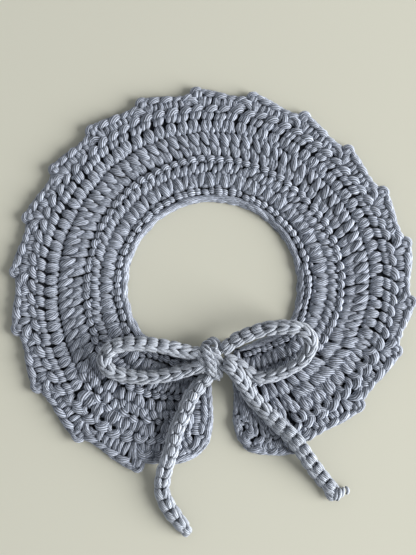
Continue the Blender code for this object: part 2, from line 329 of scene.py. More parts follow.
class Strands:
    """Gathers strands of yarn for one mesh."""

    def __init__(self, seed, plies=PLIES, rings=RINGS, flatten=FLATTEN):
        self.plies, self.rings, self.flatten = plies, rings, flatten
        self.lines, self.radii, self.tones = [], [], []
        self.random = np.random.default_rng(RANDOM_SEED + seed)

    def spread(self, limit, *shape):
        return np.clip(self.random.normal(0, 1, shape), -limit, limit)

    def work(self, chart, starts, place, stray=1.0, slant=0.0, swell=None, tuck=True):
        """Works the chart once from each start, which is added to its first term."""
        starts = np.asarray(starts, float)
        lurch = self.spread(LURCH_LIMIT, len(starts), 1, 3) * stray * LURCH
        slants = self.spread(LURCH_LIMIT, len(starts), 1) * slant
        middle_row = np.mean([point[1] for _, *points in chart for point in points])
        for radius, *points in chart:
            line = smooth_line(tucked(points) if tuck else points, self.rings)[None] + lurch
            line[..., 0] += starts[:, None] + slants * (line[..., 1] - middle_row)
            line += self.spread(STRAY_LIMIT, len(starts), 1, 3) * stray * STRAY
            middle = line[:, self.rings // 2]
            size = radius * (swell(middle[:, 0], middle[:, 1]) if swell else 1.0)
            self.add(place(line[..., 0], line[..., 1], line[..., 2]), size, stray)

    def add(self, lines, radius, stray):
        """Strands through points in millimetres, an array of strand, ring and axis."""
        count = len(lines)
        self.lines.append(lines)
        self.radii.append(LOFT * radius * (1 + self.random.normal(0, SWELL * stray, count)))
        self.tones.append(self.random.random(count))

    def trace(self, radius, points):
        self.add(smooth_line(points, self.rings)[None], radius, 0.0)

    def mesh(self, name):
        lines = np.concatenate(self.lines) + np.array([*RING_CENTRE, 0.0])
        radii, tones = np.concatenate(self.radii), np.concatenate(self.tones)
        lines[..., 2] = np.maximum(lines[..., 2], radii[:, None] * self.flatten * CLEAR)
        plies = self.random.normal(0, 1, (len(lines), self.plies))
        return strand_mesh(name, lines, radii, tones, plies, self.flatten)


def frames_along(lines):
    """Unit vectors across each strand, carried along it without twist."""
    ahead = unit(np.gradient(lines, axis=1))
    side = np.cross(ahead[:, 0], [0.0, 0.0, 1.0])
    upright = np.linalg.norm(side, axis=1) < UPRIGHT
    side[upright] = np.cross(ahead[upright, 0], ASIDE)
    sides = []
    for ring in range(lines.shape[1]):
        side = unit(side - ahead[:, ring] * (side * ahead[:, ring]).sum(1, keepdims=True))
        sides.append(side)
    sides = np.stack(sides, axis=1)
    return sides, np.cross(sides, ahead)


def tube_mesh(name, points):
    """Closed tubes through points in metres, an array of tube, ring, place round the ring and axis."""
    count, rings, around = points.shape[:3]
    first = (np.arange(count) * rings * around)[:, None, None]
    ring = np.arange(rings - 1)[None, :, None] * around
    here = np.arange(around)[None, None]
    after = (here + 1) % around
    corners = (ring + here, ring + after, ring + around + after, ring + around + here)
    quads = np.stack(np.broadcast_arrays(*(first + corner for corner in corners)), axis=-1).reshape(-1)
    starts = (first[:, 0] + np.arange(around)[::-1]).reshape(-1)
    ends = (first[:, 0] + (rings - 1) * around + np.arange(around)).reshape(-1)
    loops = np.concatenate([quads, starts, ends]).astype(np.int32)
    sizes = np.concatenate([np.full(len(quads) // 4, 4), np.full(2 * count, around)])
    mesh = bpy.data.meshes.new(name)
    mesh.vertices.add(count * rings * around)
    mesh.vertices.foreach_set("co", points.astype(np.float32).ravel())
    mesh.loops.add(len(loops))
    mesh.loops.foreach_set("vertex_index", loops)
    mesh.polygons.add(len(sizes))
    mesh.polygons.foreach_set("loop_start", np.concatenate([[0], np.cumsum(sizes)[:-1]]).astype(np.int32))
    mesh.polygons.foreach_set("use_smooth", np.ones(len(sizes), bool))
    mesh.update(calc_edges=True)
    return mesh


def strand_mesh(name, lines, radii, tones, plies, flatten):
    """Strands round their middle lines, with a ridge for each ply."""
    count, rings = lines.shape[:2]
    plies = np.repeat(plies, 2, axis=1)
    around = plies.shape[1]
    grooves = np.arange(around) % 2
    gone = distances(lines)
    share = gone / gone[:, -1:]
    swell = END_RADIUS + (1 - END_RADIUS) * np.clip(np.sin(np.pi * share), 0, 1) ** END_POWER
    turn = np.arange(around) * 2 * np.pi / around
    angle = turn[None, None] + TWIST * gone[..., None] + tones[:, None, None] * FIRST_TURN
    ridge = np.where(grooves, 1 - GROOVE, 1 + RIDGE) + plies[:, None] * PLY_SWELL
    reach = (radii[:, None] * swell)[..., None] * ridge
    sides, ups = frames_along(lines)
    across = (np.cos(angle) * reach)[..., None] * sides[:, :, None]
    upward = (np.sin(angle) * reach * flatten)[..., None] * ups[:, :, None]
    mesh = tube_mesh(name, (lines[:, :, None] + across + upward) * MM)

    # The bottom of each groove is a crease, so that the plies are shaded as separate round threads.
    ends = np.empty(len(mesh.edges) * 2, np.int32)
    mesh.edges.foreach_get("vertices", ends)
    ends = ends.reshape(-1, 2)
    along_groove = (ends[:, 0] % around % 2 == 1) & (np.abs(ends[:, 0] - ends[:, 1]) == around)
    mesh.attributes.new("sharp_edge", "BOOLEAN", "EDGE").data.foreach_set("value", along_groove)

    # What the yarn material reads: where a point lies along and round its own strand, and its tone.
    def at_points(values):
        return np.broadcast_to(values, (count, rings, around))

    def keep(name, kind, field, values):
        data = mesh.attributes.new(name, kind, "POINT").data
        data.foreach_set(field, values.reshape(-1).astype(np.float32))

    along = (gone + FIBRE_SHIFT * tones[:, None])[..., None]
    own = np.stack([at_points(along), at_points(np.cos(turn)), at_points(np.sin(turn))], axis=-1)
    tone = tones[:, None] * (1 - PLY_TONE) + PLY_TONE * (PLY_TONE_MIDDLE + PLY_TONE_SPREAD * plies)
    keep("yarn", "FLOAT_VECTOR", "vector", own)
    keep("groove", "FLOAT", "value", at_points(grooves))
    keep("tone", "FLOAT", "value", at_points(tone[:, None]))
    return mesh


def linked(obj):
    bpy.context.scene.collection.objects.link(obj)
    return obj


def point_along(obj, direction):
    obj.rotation_euler = direction.to_track_quat("-Z", "Y").to_euler()


def riding(name, mesh, slot, *materials):
    """A piece of the collar, which has no moving part."""
    for material in materials:
        mesh.materials.append(material)
    piece = linked(bpy.data.objects.new(name, mesh))
    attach(piece, "root")
    return piece


def stitched(strands, name, material, slot, *replaced):
    """One piece from the strands, in place of the nodes that it stands for."""
    piece = riding(name, strands.mesh(name), slot, material)
    if replaced:
        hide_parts(*replaced)
    return piece


# ---------- materials
COLLAR_YARN = ((0.375, 0.418, 0.512), (0.71, 0.776, 0.912))  # dark and light, as in each pair below
# The tie's yarn: the collar's blue-grey yarn painted lighter, as painted light for the light that falls on the
# cords and knot where they stand up off the collar.
TIE_YARN_PAINTED_LIGHTER = ((0.51, 0.563, 0.672), (0.83, 0.897, 1.0))
# The ground's top and sides: painted near black, as painted shade in the gaps between the stitches.
GROUND_PAINTED_SHADE = ((0.012, 0.014, 0.02), (0.04, 0.045, 0.06))
GROUND_BELOW = ((0.16, 0.18, 0.225), (0.42, 0.46, 0.54))
FLOOR = ((0.585, 0.58, 0.497), (0.612, 0.612, 0.523))


def new_material(name, roughness):
    material = bpy.data.materials.new(name)
    material.use_nodes = True
    shader = material.node_tree.nodes["Principled BSDF"]
    shader.inputs["Roughness"].default_value = roughness
    return material, material.node_tree, shader


def add_node(tree, kind, **values):
    """A node with these settings and inputs. An input's name has a capital, and _ for a space."""
    node = tree.nodes.new("ShaderNode" + kind)
    for name, value in values.items():
        if name[0].isupper():
            node.inputs[name.replace("_", " ")].default_value = value
        else:
            setattr(node, name, value)
    return node


def add_ramp(tree, colours, ends=(0.0, 1.0)):
    node = add_node(tree, "ValToRGB")
    for stop, colour, end in zip(node.color_ramp.elements, colours, ends):
        stop.position = end
        stop.color = (*colour, 1)
    return node


def link_nodes(tree, *links):
    """Each link is a node, a node and its input, and the first node's output where it isn't its first."""
    for source, target, socket, *output in links:
        tree.links.new(source.outputs[output[0] if output else 0], target.inputs[socket])


def yarn_material(name, colours):
    """Plied cotton: streaked by its fibres, with painted shade in each groove and a painted highlight along
    each ply's ridge, and painted shade on the sides of each strand where they face away from straight up.
    """
    material, tree, shader = new_material(name, 0.65)
    for socket, value in (("Sheen Weight", 0.15), ("Sheen Roughness", 0.45), ("Specular IOR Level", 0.15)):
        shader.inputs[socket].default_value = value
    own, groove, tone = (add_node(tree, "Attribute", attribute_name=of) for of in ("yarn", "groove", "tone"))
    fine = add_node(tree, "Mapping", Scale=(0.4, 4.6, 4.6))
    fibres = add_node(tree, "TexNoise", Scale=1.0, Detail=3.0, Roughness=0.62)
    wide = add_node(tree, "Mapping", Scale=(0.22, 1.7, 1.7))
    marl = add_node(tree, "TexNoise", Scale=1.0, Detail=1.0)
    mixed = add_node(tree, "Mix", Factor=0.4)
    colour = add_ramp(tree, colours, (0.36, 0.64))

    # Painted shade and highlight: the colour is darkened in each groove between the plies and lightened along
    # each ridge.
    ply_shade_and_highlight = add_node(tree, "MapRange", To_Min=1.35, To_Max=0.1)
    of_tone = add_node(tree, "MapRange", To_Min=0.74, To_Max=1.12, clamp=False)
    # Painted shade: the colour falls to 0.45 of itself where a strand's surface faces sideways, as the shade
    # low on its sides and between strands.
    facing, axes = add_node(tree, "NewGeometry"), add_node(tree, "SeparateXYZ")
    side_shade = add_node(tree, "MapRange", From_Max=0.65, To_Min=0.45)
    two, three = (add_node(tree, "Math", operation="MULTIPLY") for _ in range(2))
    shaded = add_node(tree, "VectorMath", operation="SCALE")

    height = add_node(tree, "Math", operation="MULTIPLY_ADD")
    height.inputs[1].default_value = -0.6
    bump = add_node(tree, "Bump", Strength=0.55, Distance=0.00025)
    link_nodes(tree, (own, fine, "Vector", "Vector"), (fine, fibres, "Vector"), (fibres, mixed, "A"))
    link_nodes(tree, (own, wide, "Vector", "Vector"), (wide, marl, "Vector"), (marl, mixed, "B"))
    link_nodes(tree, (mixed, colour, "Fac"), (colour, shaded, 0), (shaded, shader, "Base Color"))
    link_nodes(tree, (groove, ply_shade_and_highlight, "Value", "Fac"), (ply_shade_and_highlight, two, 0))
    link_nodes(tree, (tone, of_tone, "Value", "Fac"), (of_tone, two, 1), (two, three, 0))
    link_nodes(tree, (facing, axes, "Vector", "Normal"), (axes, side_shade, "Value", "Z"), (side_shade, three, 1))
    link_nodes(tree, (three, shaded, "Scale"), (groove, height, 0, "Fac"), (fibres, height, 2))
    link_nodes(tree, (height, bump, "Height"), (bump, shader, "Normal"))
    return material


def mottled_material(name, colours, roughness, scale, detail=2.0, relief=0.0):
    """A material mottled between two colours, with some relief."""
    material, tree, shader = new_material(name, roughness)
    place = add_node(tree, "TexCoord")
    noise = add_node(tree, "TexNoise", Scale=scale, Detail=detail)
    colour = add_ramp(tree, colours)
    link_nodes(tree, (place, noise, "Vector", "Object"), (noise, colour, "Fac"))
    link_nodes(tree, (colour, shader, "Base Color"))
    if relief:
        bump = add_node(tree, "Bump", Distance=relief)
        link_nodes(tree, (noise, bump, "Height"), (bump, shader, "Normal"))
    return material


# ---------- camera
CAMERA_AIM = (-2.6, -1.9, 0.0)
CAMERA_FROM_AIM = (0.0, -54.35, 517.15)
CAMERA_LENS, CAMERA_SENSOR = 54.4, 36.0


def make_camera():
    data = bpy.data.cameras.new("camera")
    data.sensor_fit = "VERTICAL"
    data.sensor_height = CAMERA_SENSOR
    data.lens = CAMERA_LENS
    data.clip_start = 10 * MM
    camera = linked(bpy.data.objects.new("camera", data))
    aim = Vector(CAMERA_AIM) * MM
    camera.location = aim + Vector(CAMERA_FROM_AIM) * MM
    point_along(camera, aim - camera.location)
    bpy.context.scene.camera = camera


# ---------- the tie cord
CORD_PITCH = 6.9
TIE_ROUTES = {  # the middle line of each cord, in millimetres from the neck's centre
    "tie_loop_left": (
        (-6.5, -42.2, 12.2), (-12.4, -41.8, 13.2), (-23.4, -39.2, 14.6), (-34.4, -37, 15.6),
        (-45.4, -36.2, 16), (-53.7, -36.7, 15.6), (-60.5, -38.9, 14.6), (-64.4, -43.5, 13),
        (-64.7, -48.7, 11.4), (-61.8, -52.1, 10.4), (-56.9, -54.2, 9.8), (-45.8, -56.3, 9.4),
        (-34.7, -55.9, 9.6), (-23.5, -54.1, 10.6), (-12.8, -51.2, 12.6), (-6.4, -49.4, 14.2),
    ),
    "tie_loop_right": (
        (6.8, -39.5, 13), (13, -34.6, 14.4), (24, -29.7, 17), (34.9, -27.1, 18.4),
        (45.9, -26.5, 18.4), (52.7, -27.7, 17.4), (57.3, -30.9, 16), (59.2, -35.9, 14.4),
        (57.4, -41.7, 12.8), (53.6, -46.7, 11.4), (46.4, -51.4, 10.2), (38.7, -54.7, 9.5),
        (29.8, -56.5, 9.2), (24.6, -55.2, 9.1), (20.4, -52.2, 9), (15.6, -48.4, 9),
        (8.2, -45.1, 9.2),
    ),
    "tie_tail_left": (
        (-2.2, -55.1, 9.2), (-5.5, -58.6, 9.3), (-9.1, -62.6, 9.3), (-13, -68.3, 9.3),
        (-17.1, -77.7, 9.4), (-22, -88.6, 9.4), (-24.8, -99.5, 9.5), (-26.6, -105.2, 9.3),
        (-28.3, -110.5, 7.9), (-29.6, -115, 5.7), (-30.3, -119.9, 4.2), (-30, -125.2, 3.8),
        (-27.2, -132.4, 3.8), (-22.1, -139.6, 3.8), (-17, -145.4, 3.8),
    ),
    "tie_tail_right": (
        (8, -48.5, 16.6), (11, -50.6, 16.9), (14.9, -54.6, 15.5), (19.2, -61, 12.3),
        (24.4, -69, 10), (32.4, -77.2, 9.4), (40.6, -85.5, 9.4), (48, -92.3, 9.4),
        (53.2, -99.1, 9.1), (57.8, -105.8, 7.3), (63, -112.9, 4.7), (66.9, -117.7, 3.8),
        (70.2, -121.2, 3.8), (72.8, -123.8, 3.8),
    ),
}
# A cord turns its narrow side up in places: (share of its length, share of its full width).
FULL_WIDTH = ((0, 0.82), (0.08, 1), (0.92, 1), (1, 0.86))
CORD_WIDTHS = {
    "tie_loop_left": ((0, 0.82), (0.08, 0.97), (0.5, 0.97), (0.62, 0.87), (0.92, 0.87), (1, 0.82)),
    "tie_loop_right": ((0, 0.82), (0.08, 0.95), (0.45, 0.93), (0.6, 0.8), (0.92, 0.8), (1, 0.8)),
    "tie_tail_left": ((0, 0.82), (0.1, 0.93), (0.45, 0.93), (0.6, 1), (0.9, 1), (1, 0.86)),
    "tie_tail_right": FULL_WIDTH,
}
RADIUS_POWER = 0.5  # how far a strand's radius follows its cord's width
ROUTE_FINENESS, ROUTE_POINTS = 12, 160  # points for each given one, then evenly along the whole
FIRST_STITCH, LAST_STITCH = -0.1, 0.95  # where the first starts, and the last, before the end
CORE_STRAY, CORD_STRAY = 0.5, 0.7  # how far a cord's strands stray, beside the band's


class Route:
    """A cord's middle line, measured along its length, with a level direction across it."""

    def __init__(self, points, widths=FULL_WIDTH):
        self.shares, self.widths = zip(*widths)
        fine = smooth_line(points, ROUTE_FINENESS * len(points))
        gone = distances(fine)
        self.length = gone[-1]
        self.at = np.linspace(0, self.length, ROUTE_POINTS)
        self.points = read(fine, gone, self.at)
        self.ahead = unit(np.gradient(self.points, axis=0))
        self.across = unit(np.cross(self.ahead, [0.0, 0.0, 1.0]))
        self.up = np.cross(self.across, self.ahead)

    def width(self, gone):
        return np.interp(gone / self.length, self.shares, self.widths)

    def fullness(self, along, across):
        return self.width(along * CORD_PITCH) ** RADIUS_POWER

    def place(self, along, across, height):
        gone = along * CORD_PITCH
        past = gone - np.clip(gone, 0, self.length)
        width = self.width(gone)
        return (
            read(self.points, self.at, gone)
            + read(self.ahead, self.at, gone) * past[..., None]
            + read(self.across, self.at, gone) * (across * width)[..., None]
            + read(self.up, self.at, gone) * (height * width)[..., None]
        )


CORD_CORE = (
    (1.95, (-0.15, 0, -1), (0.5, 0, -0.8), (1.15, 0, -1)),
    (1.45, (0, 2.4, -1.5), (0.35, 2.2, -1.9), (0.75, 1.4, -2), (1.15, 0.6, -1.8)),
    (1.45, (0, -2.4, -1.5), (0.35, -2.2, -1.9), (0.75, -1.4, -2), (1.15, -0.6, -1.8)),
)
BUMPS = (  # stacked bumps along the outside of a loop, slanting legs along its inside
    (1.2, (0.04, 2.7, -0.2), (0.24, 3, 0.7), (0.58, 2.9, 0.9), (0.86, 2.4, 0.3)),
    (1.2, (0.02, 1.2, 1), (0.22, 1.4, 1.9), (0.56, 1.3, 2.1), (0.84, 0.9, 1.3)),
    (1.05, (0.04, -0.2, 1.4), (0.26, -0.1, 2.2), (0.58, -0.3, 2.3), (0.9, -0.6, 1.6)),
    (1, (-0.15, -3.1, 0.3), (0.25, -2.6, 1.3), (0.65, -2, 1.9), (1.1, -1.2, 1.5)),
    (0.95, (0.2, -3.6, -0.3), (0.58, -3.3, 0.6), (0.96, -2.8, 1.1), (1.35, -2.1, 0.9)),
    (1.15, (-0.1, -3.4, -1.2), (0.45, -3.5, -0.8), (1.05, -3.4, -1.2)),
    (1.15, (0.1, 3.3, -1.3), (0.55, 3.4, -1), (1.05, 3.2, -1.3)),
)
BRAID = (  # slender legs that meet in a V, within slanting edge strands
    (1.1, (-0.05, -2.3, 0.9), (0.28, -1.8, 1.9), (0.64, -1.1, 2.3), (1.05, -0.2, 1.7)),
    (1.1, (0.1, 2, 1.2), (0.4, 1.6, 2.1), (0.74, 0.9, 2.3), (1.12, 0.1, 1.6)),
    (1, (0.12, -3.5, -0.3), (0.46, -3.1, 0.7), (0.82, -2.5, 1.3), (1.2, -1.7, 1.1)),
    (1.05, (0.38, 3.3, 0), (0.7, 2.9, 0.9), (1.04, 2.3, 1.4), (1.4, 1.5, 1.1)),
    (1.1, (-0.15, 3.5, -0.9), (0.4, 3.6, -0.5), (1.1, 3.5, -0.9)),
    (1.1, (0.05, -3.5, -1.3), (0.5, -3.6, -1), (1, -3.4, -1.3)),
)
LOBES = (  # one column of oval lobes between a chain's leg and long plain strands
    (2.05, (0.06, -0.5, 0.9), (0.24, -0.6, 1.8), (0.56, -0.6, 1.9), (0.84, -0.4, 0.9)),
    (1.05, (-0.1, -3.6, -0.3), (0.28, -3.4, 0.8), (0.66, -2.9, 1.3), (1.04, -2.1, 0.9)),
    (1.1, (-0.1, 2.1, 0.9), (0.45, 2.2, 1.4), (1.15, 1.9, 0.9)),
    (1.15, (0.15, 3.4, -0.1), (0.7, 3.4, 0.3), (1.3, 3.2, -0.2)),
    (1.2, (-0.05, 3.7, -1.2), (0.45, 3.8, -0.9), (1.1, 3.7, -1.2)),
    (1.2, (0.05, -3.7, -1.3), (0.5, -3.8, -1), (0.95, -3.7, -1.3)),
)
TWO_LEGS = (  # a chain's two legs side by side, within edge strands
    (1.45, (0.02, 2.1, 0.9), (0.25, 1.9, 1.9), (0.58, 1.3, 2.2), (0.92, 0.6, 1.2)),
    (1.45, (0.04, -2.1, 0.9), (0.27, -1.9, 1.9), (0.6, -1.3, 2.2), (0.94, -0.6, 1.2)),
    (1.1, (-0.2, 3.6, -0.4), (0.3, 3.4, 0.5), (0.9, 2.8, 0.8), (1.2, 2.3, 0.4)),
    (1.1, (-0.15, -3.6, -0.4), (0.35, -3.4, 0.5), (0.95, -2.8, 0.8), (1.25, -2.3, 0.4)),
    (1.15, (-0.05, 3.6, -1.3), (0.5, 3.7, -1), (1.05, 3.6, -1.3)),
    (1.15, (-0.05, -3.6, -1.3), (0.5, -3.7, -1), (1.05, -3.6, -1.3)),
)
RUNGS = (  # a column of square bumps between long plain strands
    (1.6, (0.12, -0.4, 0.9), (0.26, -0.4, 2.2), (0.6, -0.5, 2.3), (0.76, -0.5, 1)),
    (1.55, (0.12, -2.2, 0.6), (0.26, -2.3, 1.9), (0.6, -2.3, 2), (0.76, -2.2, 0.7)),
    (1.15, (-0.2, 1.5, 1), (0.4, 1.7, 1.5), (1.1, 1.4, 0.9)),
    (1.15, (-0.05, 3.1, 0.2), (0.5, 3.1, 0.7), (1.15, 2.8, 0.2)),
    (1.15, (0.1, 3.7, -1.1), (0.6, 3.8, -0.8), (1.1, 3.6, -1.1)),
    (1.1, (-0.1, -3.7, -0.5), (0.45, -3.8, 0), (1.1, -3.6, -0.5)),
)
# The stitches of each cord, one run after another: (chart, mirrored, up to this stitch).
CORD_RUNS = {
    "tie_loop_left": ((BRAID, True, 2.0), (BUMPS, False, 8.4), (BRAID, False, math.inf)),
    "tie_loop_right": ((BUMPS, True, 3.2), (BRAID, True, math.inf)),
    "tie_tail_left": ((LOBES, False, 7.3), (TWO_LEGS, False, math.inf)),
    "tie_tail_right": ((BRAID, False, 5.3), (RUNGS, False, math.inf)),
}


def mirrored(chart):
    return tuple((radius, *((a, -b, c) for a, b, c in points)) for radius, *points in chart)


def make_cord(name, seed, material):
    route = Route(TIE_ROUTES[name], CORD_WIDTHS[name])
    strands = Strands(seed)
    last = route.length / CORD_PITCH - LAST_STITCH
    starts = np.linspace(FIRST_STITCH, last, int(round(last - FIRST_STITCH + 1)))
    strands.work(CORD_CORE, starts, route.place, CORE_STRAY, swell=route.fullness, tuck=False)
    begin = FIRST_STITCH
    for chart, flip, end in CORD_RUNS[name]:
        run = starts[(starts >= begin) & (starts < end)]
        chart = mirrored(chart) if flip else chart
        strands.work(chart, run, route.place, CORD_STRAY, swell=route.fullness, tuck=False)
        begin = end
    return stitched(strands, name + "_cord", material, "tie_yarn", name), route


TRACED = {  # the strands of the knot and of the cord's ends, in millimetres from the neck's centre
    "tie_knot": (
        (3.8, (-1.4, -40.2, 9.2), (-0.8, -45.8, 10.6), (0.2, -52, 9.6)),
        (2.6, (-4.4, -39.4, 8.6), (-4.2, -45, 10), (-2.8, -51.2, 9.2)),
        (2.6, (1.4, -39.2, 9), (2.6, -45.2, 10), (2.6, -51.4, 9)),
        (1.3, (-3, -34.2, 8.8), (-0.8, -34.2, 11.6), (2, -36.8, 14), (1.6, -40, 14.8)),
        (1.15, (-1.2, -32.6, 9.2), (1.6, -33.4, 11.4), (4.1, -36.2, 12.4), (4.2, -39.8, 12.6)),
        (1.2, (-6.8, -38.4, 8), (-4.8, -35.8, 9.8), (-2, -35.4, 12), (-0.2, -37.2, 13.4)),
        (1.25, (-6.8, -39.4, 6.4), (-5, -36.2, 7.2), (-1, -35.4, 7.4), (3.6, -36.6, 7), (5.8, -40, 6.4)),
        (1.35, (-6.6, -42, 5.8), (-4.6, -48.6, 5.6), (-2.2, -54, 6.2), (2.2, -56, 7.2), (4.8, -52.4, 7.2)),
        (1.35, (-4.6, -42, 6), (0, -45.6, 5.8), (5.4, -46.2, 6.6)),
    ),
    "tie_tip_left": (
        (1.7, (-17.4, -145.6, 3.2), (-15.6, -148.2, 3.6), (-13.8, -149.6, 3)),
        (1.5, (-16.2, -144.8, 2.8), (-14, -146.6, 3.4), (-12.9, -148.4, 2.8)),
        (1.5, (-18, -146.6, 2), (-16.6, -149.2, 2), (-14.6, -150.4, 2.2)),
    ),
    "tie_tip_right": (
        (1.5, (67.6, -122.6, 2.2), (69, -126, 2.8), (71, -128.6, 3), (73, -129, 2.2)),
        (1.4, (70.6, -124.2, 3.4), (71.4, -126.4, 3.8), (71.8, -128, 3)),
        (1.2, (74.4, -122.6, 3), (74.2, -125, 4.2), (73.8, -127.4, 4), (73.2, -129.6, 2.4)),
        (1.3, (76.4, -122.2, 3), (76.3, -124.6, 4.4), (75.6, -127.4, 4), (74.8, -130, 2.2)),
        (1.2, (78.4, -122, 2.8), (78.3, -124, 3.8), (77.7, -126.2, 3.4), (76.8, -127.8, 2.2)),
        (1, (79.8, -121.8, 2), (81, -122.6, 2.6), (81.4, -124.6, 2.6), (80.4, -126.2, 1.8)),
        (1.2, (71.2, -123.4, 2), (75, -124.8, 1.8), (79.6, -124.2, 1.5)),
    ),
    "tie_root_left": (
        (1.5, (-8.4, -43.6, 2.4), (-6, -42.8, 3.2), (-3.4, -42.6, 4.6), (-1.6, -42.8, 6.2)),
        (1.5, (-8, -41.2, 2), (-5.6, -41.2, 2.8), (-3.2, -41.6, 4.2), (-1.6, -42, 5.8)),
    ),
    "tie_root_right": (
        (1.5, (15.8, -36.4, 2.6), (11.4, -37.8, 3.2), (7, -39.8, 4.6), (3.4, -42.4, 6.4)),
        (1.5, (15, -34.4, 2.2), (10.6, -35.8, 2.8), (6.4, -38, 4.2), (3.2, -40.8, 6)),
    ),
}
KNOT_BANDS = (  # the cord where it is wrapped round the knot, left to right
    ((-8.4, -38.4, 8.6), (-7.6, -41.2, 12.4), (-5.9, -46.4, 14.6), (-4.4, -51.2, 13.6), (-4, -54.8, 9.4)),
    ((-4.6, -36.8, 10), (-3.6, -41, 15.2), (-1.4, -46.4, 16.6), (-0.4, -51.6, 15.6), (-0.8, -57, 10)),
    ((0, -38, 11.2), (1.2, -41.4, 14.4), (3.4, -46.4, 14.6), (4, -51, 12.8), (2.8, -56.4, 9.4)),
)
WRAPS = (  # short slanting strands down a band of the knot
    (1.15, (-0.1, 2.1, -0.3), (0.14, 1.5, 0.9), (0.42, 0.5, 1.2), (0.72, -0.5, 0.2)),
    (1.1, (0.16, 0.8, 0.1), (0.4, 0.1, 1.1), (0.68, -1, 1), (0.96, -1.9, -0.2)),
    (1.1, (0.2, 2.2, -0.6), (0.44, 2, 0.3), (0.66, 1.4, 0.6), (0.86, 0.8, 0)),
    (1.05, (-0.1, -1.9, -0.6), (0.14, -1.8, 0.3), (0.36, -1.9, 0.4), (0.58, -2.2, -0.5)),
)
WRAPPED_PITCH, LAST_WRAP = 0.64, 0.6  # from stitch to stitch, and from the last to a band's end


def make_traced(node, seed, material):
    """The knot, or an end of the cord, strand by strand."""
    strands = Strands(seed)
    for radius, *points in TRACED[node]:
        strands.trace(radius, points)
    for band in KNOT_BANDS if node == "tie_knot" else ():
        route = Route(band)
        starts = np.arange(0.0, route.length / CORD_PITCH - LAST_WRAP, WRAPPED_PITCH)
        strands.work(WRAPS, starts, route.place, tuck=False)
    return stitched(strands, node + "_strands", material, "tie_yarn", node)


# ---------- charts of the band
CHAIN = (
    (1.3, (-1.2, 0.044, 1.8), (-0.6, 0.04, 2.4), (0.2, 0.028, 2.6), (1, 0.018, 2.3), (1.6, 0.012, 1.7)),
    (1.2, (-0.8, 0.022, 1.4), (-0.2, 0.014, 1.5), (0.6, 0.01, 1.5), (1.2, 0.014, 1.4)),
)
BEANS = (
    (1.85, (-0.42, 0.096, 2), (-0.22, 0.096, 3.2), (0.12, 0.092, 3.4), (0.4, 0.082, 2.3)),
    (1.65, (0.6, 0.106, 1.9), (0.76, 0.104, 3.1), (0.98, 0.098, 3.1), (1.16, 0.086, 2)),
    (1.2, (-0.38, 0.148, 2), (-0.18, 0.156, 2.7), (0.08, 0.158, 2.7), (0.28, 0.15, 2)),
)
ROW_1_LOWER = (
    (1.4, (0.08, 0.286, 1.9), (0.14, 0.25, 3), (0.26, 0.2, 3.3), (0.4, 0.168, 2.9), (0.48, 0.152, 2)),
    (1.6, (0.46, 0.296, 1.9), (0.53, 0.262, 3.3), (0.62, 0.208, 3.8), (0.68, 0.17, 3.2), (0.7, 0.148, 2)),
    (1.45, (0.88, 0.29, 1.8), (0.96, 0.26, 2.9), (0.98, 0.218, 3.2), (0.92, 0.178, 2.8), (0.86, 0.156, 1.9)),
    (1.5, (1.72, 0.306, 1.9), (1.67, 0.268, 3.3), (1.55, 0.22, 3.8), (1.4, 0.18, 3.2), (1.26, 0.158, 2)),
)
ROW_1_UPPER = (
    (1.25, (0.12, 0.292, 1.9), (0.18, 0.311, 3.1), (0.28, 0.342, 3.4), (0.38, 0.37, 2.4)),
    (1.45, (0.62, 0.308, 2.5), (0.7, 0.336, 3.4), (0.8, 0.368, 3.8), (0.9, 0.402, 2.4)),
)
CAP_1 = (
    (1.9, (0.44, 0.428, 2.2), (0.58, 0.438, 3.1), (0.75, 0.442, 3.5), (0.92, 0.442, 3.2), (1.04, 0.436, 2.4)),
    (1.1, (1.06, 0.418, 2.2), (1.16, 0.407, 2.9), (1.28, 0.398, 2.2)),
)
ROW_2_LOWER = (
    (1.2, (0.8, 0.656, 2), (0.88, 0.622, 2.9), (1, 0.575, 3.3), (1.14, 0.53, 3.2), (1.3, 0.488, 2.2)),
    (1.25, (1.04, 0.61, 2.1), (1.16, 0.576, 3.1), (1.29, 0.54, 3.6), (1.41, 0.506, 3.3), (1.48, 0.478, 2.4)),
    (1.3, (1.52, 0.58, 2.2), (1.59, 0.556, 3.1), (1.62, 0.525, 3.3), (1.6, 0.498, 2.8), (1.55, 0.484, 2.1)),
)
ROW_2_UPPER = (
    (1.6, (0.8, 0.718, 2.2), (0.95, 0.696, 3.5), (1.14, 0.658, 4.2), (1.36, 0.616, 4), (1.56, 0.582, 2.9)),
    (1.3, (1.34, 0.722, 2.1), (1.46, 0.702, 3.1), (1.54, 0.672, 3.4), (1.58, 0.64, 2.6)),
)
ROW_3_LOWER = (
    (1.5, (0.36, 0.752, 2.4), (0.22, 0.79, 3.6), (0.2, 0.835, 3.7), (0.32, 0.874, 2.2)),
    (1.55, (0.42, 0.752, 2.4), (0.56, 0.79, 3.6), (0.58, 0.835, 3.7), (0.46, 0.876, 2.2)),
    (1.35, (0.8, 0.742, 2.2), (0.88, 0.758, 3.1), (0.91, 0.78, 3.2), (0.88, 0.804, 2)),
)
ROW_3_UPPER = (
    (1.45, (0.2, 0.88, 2.6), (0.29, 0.898, 3.4), (0.41, 0.924, 3.7), (0.52, 0.95, 2.4)),
    (1.6, (0.57, 0.876, 2.7), (0.68, 0.896, 3.5), (0.8, 0.924, 3.9), (0.91, 0.952, 2.4)),
)
CAP_3 = (
    (2, (-0.5, 0.962, 2.4), (-0.36, 0.978, 3.3), (-0.08, 0.998, 3.8), (0.14, 1.002, 3.5), (0.27, 0.988, 2.5)),
    (1.05, (0.18, 0.962, 2.1), (0.3, 0.955, 2.8), (0.44, 0.946, 2.1)),
)
